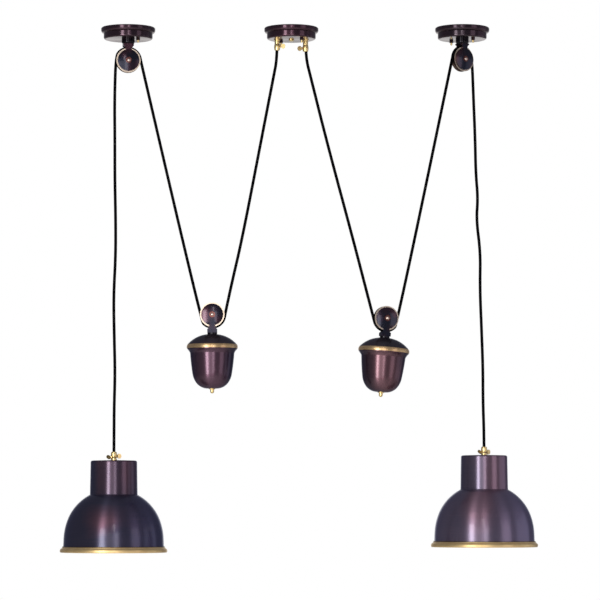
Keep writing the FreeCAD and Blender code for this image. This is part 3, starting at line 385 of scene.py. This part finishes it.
# Painted light: the right-hand counterweight and shade take lighter copies of the same lacquer tones as the
# left-hand ones.
WEIGHT_TONES = {
    "left": ((0.024, 0.023, 0.042), (0.112, 0.058, 0.082)),
    "right": ((0.032, 0.025, 0.038), (0.150, 0.074, 0.086)),
}
SHADE_TONES = {
    "left": ((0.038, 0.050, 0.086), (0.132, 0.070, 0.094)),
    "right": ((0.150, 0.135, 0.195), (0.235, 0.145, 0.185)),
}
WEIGHT_TINT = (0.30, 0.32, 0.45)
ROSE_LACQUER = lacquer("rose_lacquer", *ROSE_TONES, tint=(0.80, 0.76, 0.74), rough=0.24)
CAP_LACQUER = lacquer("cap_lacquer", *CAP_TONES, tint=(0.34, 0.38, 0.45))
YOKE_LACQUER = lacquer("yoke_lacquer", *YOKE_TONES, turned=False, tint=(0.12, 0.12, 0.15), rough=0.42)


def paint(finish, *names):
    for name in names:
        data = nodes[name].data
        data.materials.clear()
        data.materials.append(finish)


paint(ROSE_LACQUER, "rose_cover_left", "rose_cover_middle", "rose_cover_right")
paint(YOKE_LACQUER, "pulley_yoke_left", "pulley_yoke_right")
paint(cheek_lacquer("ceiling_cheek_lacquer", *(SHEAVES[side, "block"] for side in SIDES)), "ceiling_cheeks")
paint(ZINC, "ceiling_straps")
paint(DARK_STEEL, "rose_nuts")
paint(POLISHED, "rose_studs", "rose_cord_grips", "rose_thumbscrew_left", "rose_thumbscrew_right")
paint(PIN, "ceiling_axles")
paint(NYLON, "terminal_block")
for side in SIDES:
    paint(sheave_brass(f"ceiling_sheave_brass_{side}", SHEAVES[side, "block"]), f"ceiling_sheave_{side}")
    paint(sheave_brass(f"weight_sheave_brass_{side}", SHEAVES[side, "weight"]), f"weight_sheave_{side}")
    paint(PIN, f"weight_axle_{side}")
    paint(cheek_lacquer(f"weight_cheek_lacquer_{side}", SHEAVES[side, "weight"]), f"weight_cheeks_{side}")
    paint(YOKE_LACQUER, f"weight_collar_{side}")
    paint(CAP_LACQUER, f"weight_cap_{side}")
    body = lacquer(f"weight_lacquer_{side}", *WEIGHT_TONES[side], tint=WEIGHT_TINT, weight=side)
    paint(body, f"weight_body_{side}")
    paint(BAND, f"weight_band_{side}")
    rim_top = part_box(f"shade_rim_{side}")[1].z
    rim = brass(f"rim_brass_{side}", RIM_COLOUR, 0.46, turned=True, joint=rim_top, coat=0.1)
    paint(rim, f"shade_rim_{side}")
    paint(lacquer(f"shade_lacquer_{side}", *SHADE_TONES[side], rough=0.38, shade=side), f"shade_shell_{side}")
    paint(POLISHED, f"weight_finial_{side}", f"shade_grip_{side}")
    paint(POLISHED, f"shade_thumbscrew_{side}_low", f"shade_thumbscrew_{side}_high")
    paint(POLISHED, f"lampholder_cap_{side}", f"lampholder_skirt_{side}", f"lamp_socket_{side}")
    paint(PORCELAIN, f"lampholder_core_{side}")
    paint(ZINC, f"weight_rod_{side}")
    paint(IRON, f"weight_slug_{side}")

# ---------------------------------------------------------------- meshes


def ring_points(made, centre, across, up, radii):
    """Vertices round a centre, one for each radius, in metres."""
    ring = []
    for k, radius in enumerate(radii):
        angle = 2 * math.pi * k / len(radii)
        ring.append(made.verts.new(centre + radius * (across * math.cos(angle) + up * math.sin(angle))))
    return ring


def join_rings(made, rings):
    """Smooth quads between each ring of vertices and the next, ring by ring."""
    faces = []
    for first, second in zip(rings, rings[1:]):
        for k in range(len(first)):
            following = (k + 1) % len(first)
            faces.append(made.faces.new((first[k], first[following], second[following], second[k])))
            faces[-1].smooth = True
    return faces


def finished_piece(made, name):
    mesh = bpy.data.meshes.new(name)
    made.to_mesh(mesh)
    made.free()
    piece = bpy.data.objects.new(name, mesh)
    scene.collection.objects.link(piece)
    return piece


# ---------------------------------------------------------------- flex

FLEX_RADIUS = 0.003
FLEX_SIDES = 16
# Where each leg meets a sheave, in degrees from the sheave's right-hand side, counted over its top.
WRAPS = {
    "left": {"leg": 12.9, "drop": 180, "outer": 193.1, "inner": 348.3},
    "right": {"leg": 171.2, "drop": 0, "outer": -11.1, "inner": -166.4},
}
WRAP_STEPS = 5
INNER_POINTS = {
    "left": [
        (-28.5, 0, -15), (-28.5, 0, -61), (-35.6, 0.2, -98),
        (-59.5, 0.8, -222), (-98.5, 1.6, -426), (-121.5, 2.1, -524),
    ],
    "right": [
        (28.5, 0, -15), (28.5, 0, -58), (39, -1, -100),
        (71, -4.3, -230), (123.7, -9.2, -428), (149.4, -11.7, -528),
    ],
}
DROP_POINTS = {
    "left": [
        (-354.8, -4.3, -148), (-353.8, -4.4, -226), (-353.6, -4.2, -306), (-351.6, -4.5, -388),
        (-351.4, -4.4, -462), (-355.3, -4.2, -541), (-353.6, -4.2, -622), (-351.6, -4.4, -696),
        (-353.3, -4.5, -764), (-353.3, -4.34, -822),
    ],
    "right": [
        (366.6, 14.7, -142), (369.6, 14.8, -222), (370.6, 14.6, -292), (374.8, 14.5, -342),
        (371.4, 14.6, -386), (379.6, 14.5, -452), (378, 14.7, -522), (381, 14.6, -604),
        (383.6, 14.7, -684), (383.4, 14.8, -754), (385.3, 14.69, -812),
    ],
}
# Depth in millimetres of each drop's lower end under its shade's top.
DROP_FOOT_UNDER_TOP = 15.2


def on_sheave(side, kind, angle, share=1.0):
    """Point in a sheave's mid plane, at a share of the pitch radius, in millimetres."""
    centre, yaw = SHEAVES[side, kind]
    level = PITCH_RADIUS * share * math.cos(math.radians(angle))
    rise = PITCH_RADIUS * share * math.sin(math.radians(angle))
    yaw = math.radians(yaw)
    return Vector(centre) + Vector((level * math.cos(yaw), level * math.sin(yaw), rise))


def wrap_corners(side, kind, first, last):
    """Corners of the polygon that fits round the pitch circle between two angles."""
    step = (last - first) / WRAP_STEPS
    share = 1 / math.cos(math.radians(step / 2))
    return [on_sheave(side, kind, first + step * (k + 0.5), share) for k in range(WRAP_STEPS)]


def smooth_line(points):
    """Points along the smooth curve that has these control points, in metres."""
    curve = bpy.data.curves.new("route", "CURVE")
    curve.dimensions = "3D"
    curve.resolution_u = 10
    spline = curve.splines.new("NURBS")
    spline.points.add(len(points) - 1)
    for control, point in zip(spline.points, points):
        control.co = (*[c / 1000 for c in point], 1)
    spline.order_u = 3
    spline.use_endpoint_u = True
    holder = bpy.data.objects.new("route", curve)
    scene.collection.objects.link(holder)
    mesh = bpy.data.meshes.new_from_object(holder)
    line = [v.co.copy() for v in mesh.vertices]
    bpy.data.objects.remove(holder)
    return line


def tube(name, line):
    """Flex along a line, with UVs that run around it and along it in metres, and its length."""
    made = bmesh.new()
    layer = made.loops.layers.uv.new("UVMap")
    rings, lengths = [], [0.0]
    heading = (line[1] - line[0]).normalized()
    across = heading.orthogonal().normalized()
    for i, point in enumerate(line):
        after = line[min(i + 1, len(line) - 1)] - line[max(i - 1, 0)]
        across = heading.rotation_difference(after.normalized()) @ across
        heading = after.normalized()
        rings.append(ring_points(made, point, across, heading.cross(across), [FLEX_RADIUS] * FLEX_SIDES))
        if i:
            lengths.append(lengths[-1] + (point - line[i - 1]).length)
    for number, face in enumerate(join_rings(made, rings)):
        i, k = divmod(number, FLEX_SIDES)
        spots = ((k, i), (k + 1, i), (k + 1, i + 1), (k, i + 1))
        for loop, (turn, step) in zip(face.loops, spots):
            loop[layer].uv = (turn / FLEX_SIDES, lengths[step])
    for ring in (rings[0][::-1], rings[-1]):
        made.faces.new(ring)
    return finished_piece(made, name), lengths[-1]


def flex(name, points, node):
    """One stretch of flex, from the ceiling to a moving part, drawn along a smooth line in place of a cord node,
    which it hides.
    """
    line = smooth_line(points)
    piece, length = tube(name, line)
    piece.data.materials.append(FLEX)
    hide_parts(node)
    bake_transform(piece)


for side in SIDES:
    angles = WRAPS[side]
    leg_top = on_sheave(side, "block", angles["leg"])
    inner_end = on_sheave(side, "weight", angles["inner"])
    over = wrap_corners(side, "block", angles["leg"], angles["drop"])
    under = wrap_corners(side, "weight", angles["outer"], angles["inner"])
    drop_end = Vector((*DROP_POINTS[side][-1][:2], SHADE_TOPS[side] - DROP_FOOT_UNDER_TOP))
    drop = [leg_top] + over + DROP_POINTS[side] + [drop_end]
    flex(f"flex_drop_{side}", drop, f"cord_drop_{side}")
    outer = [leg_top] + under + [inner_end]
    flex(f"flex_outer_{side}", outer, f"cord_outer_{side}")
    inner = INNER_POINTS[side] + [inner_end]
    flex(f"flex_inner_{side}", inner, f"cord_inner_{side}")

# ---------------------------------------------------------------- lampholder details

# The E27 thread and the contact's profile (radius, distance under the porcelain), in millimetres.
THREAD_PITCH = 3.629
THREAD_RADIUS = 13.9
THREAD_DEPTH = 0.35
THREAD_SIDES, THREAD_STEPS, THREAD_RUN_OUT = 48, 96, 6
SOCKET_WALL = 0.0003
CONTACT_TIP = 4.2
CONTACT_PROFILE = [(1.2, 4.1), (2.4, 3.4), (3.2, 2.0), (3.6, 0.8), (3.6, 0.0)]
CONTACT_SIDES = 24
LEVEL_AXES = Vector((1, 0, 0)), Vector((0, 1, 0))


def threaded_socket(side):
    """E27 shell with its rolled thread."""
    x, y = SHADE_AXES[side]
    low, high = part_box(f"lamp_socket_{side}")
    made = bmesh.new()
    rings = []
    for j in range(THREAD_STEPS + 1):
        z = low.z + (high.z - low.z) * j / THREAD_STEPS
        depth = THREAD_DEPTH * min(1, j / THREAD_RUN_OUT, (THREAD_STEPS - j) / THREAD_RUN_OUT)
        radii = []
        for k in range(THREAD_SIDES):
            turn = z * 1000 / THREAD_PITCH - k / THREAD_SIDES
            radii.append((THREAD_RADIUS + depth * math.sin(2 * math.pi * turn)) / 1000)
        rings.append(ring_points(made, Vector((x / 1000, y / 1000, z)), *LEVEL_AXES, radii))
    join_rings(made, rings)
    piece = finished_piece(made, f"threaded_socket_{side}")
    wall = piece.modifiers.new("wall", "SOLIDIFY")
    wall.thickness = SOCKET_WALL
    wall.offset = 0
    piece.data.materials.append(POLISHED)
    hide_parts(f"lamp_socket_{side}")
    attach(piece, f"shade_{side}")


def contact(side):
    """Sprung centre contact under the porcelain."""
    x, y = SHADE_AXES[side]
    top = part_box(f"lampholder_core_{side}")[0].z
    made = bmesh.new()
    rings = []
    for radius, drop in CONTACT_PROFILE:
        centre = Vector((x / 1000, y / 1000, top - drop / 1000))
        rings.append(ring_points(made, centre, *LEVEL_AXES, [radius / 1000] * CONTACT_SIDES))
    join_rings(made, rings)
    tip = made.verts.new((x / 1000, y / 1000, top - CONTACT_TIP / 1000))
    for k in range(CONTACT_SIDES):
        made.faces.new((tip, rings[0][(k + 1) % CONTACT_SIDES], rings[0][k])).smooth = True
    made.faces.new(rings[-1])
    bmesh.ops.recalc_face_normals(made, faces=made.faces)
    piece = finished_piece(made, f"socket_contact_{side}")
    piece.data.materials.append(POLISHED)
    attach(piece, f"shade_{side}")


for side in SIDES:
    threaded_socket(side)
    contact(side)

# ---------------------------------------------------------------- light, backdrop and camera

LIGHT_AIM = Vector((0, 0, -0.65))
ROOM_DIFFUSE, ROOM_MIRRORED = (0.38, 0.38, 0.38), (0.19, 0.195, 0.235)
WHITE = (1, 1, 1)
FLOOR_REACH, FLOOR_LEVEL = 6, -2.9
FLOOR_GREY = (0.9, 0.9, 0.9, 1)
CAMERA_X = 0.0174

# The backdrop stands behind the object, and the rest of the room is dim.
world = bpy.data.worlds.new("studio")
scene.world = world
world.use_nodes = True
room = Graph(world.node_tree)
forward = room.split(room.node("ShaderNodeTexCoord").outputs["Generated"])[1]
behind = room.node("ShaderNodeMapRange", {0: forward, "From Min": 0.90, "From Max": 0.975}).outputs[0]
rays = room.node("ShaderNodeLightPath").outputs
mirrored = room.math("MAXIMUM", rays["Is Glossy Ray"], rays["Is Transmission Ray"])
seen = room.math("MAXIMUM", rays["Is Camera Ray"], room.math("MULTIPLY", mirrored, behind))
dim = room.mix(mirrored, ROOM_DIFFUSE, ROOM_MIRRORED)
room.tree.links.new(room.mix(seen, dim, WHITE), room.tree.nodes["Background"].inputs["Color"])


def softbox(name, azimuth, distance, height, size, radiance, colour):
    """Area light that stands round the object and faces its middle. Azimuth 0 is the viewer's side."""
    turn = math.radians(azimuth)
    light = bpy.data.lights.new(name, "AREA")
    light.shape = "RECTANGLE"
    light.size, light.size_y = size
    light.energy = radiance * math.pi * size[0] * size[1]
    light.color = colour
    holder = bpy.data.objects.new(name, light)
    scene.collection.objects.link(holder)
    holder.location = (distance * math.sin(turn), -distance * math.cos(turn), height)
    holder.rotation_euler = (LIGHT_AIM - holder.location).to_track_quat("-Z", "Y").to_euler()


softbox("key_strip", -28, 4.0, -0.8, (0.8, 2.9), 8.5, (0.97, 0.98, 1.0))
softbox("key_wide", -14, 4.3, -1.0, (3.0, 2.5), 1.25, (1.0, 0.95, 0.98))
softbox("front_strip", 6, 4.4, -0.9, (0.7, 2.6), 3.2, (1.0, 0.95, 1.0))
softbox("top_strip", 0, 4.2, 0.95, (0.32, 1.1), 6.0, (1.0, 0.97, 1.0))
softbox("right_fill", 52, 4.0, -0.6, (1.5, 2.6), 1.1, (1.0, 0.9, 1.0))
softbox("side_fill", 98, 4.0, -0.8, (3.0, 2.6), 0.45, (0.82, 0.84, 1.0))

# The floor shows from above only.
corners = [(FLOOR_REACH * x, FLOOR_REACH * y, FLOOR_LEVEL) for x, y in ((-1, -1), (1, -1), (1, 1), (-1, 1))]
floor_mesh = bpy.data.meshes.new("floor")
floor_mesh.from_pydata(corners, [], [(0, 1, 2, 3)])
floor = bpy.data.objects.new("floor", floor_mesh)
scene.collection.objects.link(floor)
floor_finish = Finish("floor", Base_Color=FLOOR_GREY, Roughness=0.8)
from_below = floor_finish.node("ShaderNodeNewGeometry").outputs["Backfacing"]
clear = floor_finish.node("ShaderNodeBsdfTransparent").outputs[0]
either = floor_finish.node("ShaderNodeMixShader", {0: from_below, 1: floor_finish.shader.outputs[0], 2: clear})
floor_finish.tree.links.new(either.outputs[0], floor_finish.tree.nodes["Material Output"].inputs[0])
floor_mesh.materials.append(floor_finish.material)

camera_data = bpy.data.cameras.new("camera")
camera_data.sensor_width = 36
camera_data.lens = 190.6
camera = bpy.data.objects.new("camera", camera_data)
scene.collection.objects.link(camera)
camera.location = (CAMERA_X, -6.34, -0.958)
camera_aim = Vector((CAMERA_X, 0, -0.5482)) - camera.location
camera.rotation_euler = camera_aim.to_track_quat("-Z", "Y").to_euler()
scene.camera = camera
scene.view_settings.view_transform = "Standard"
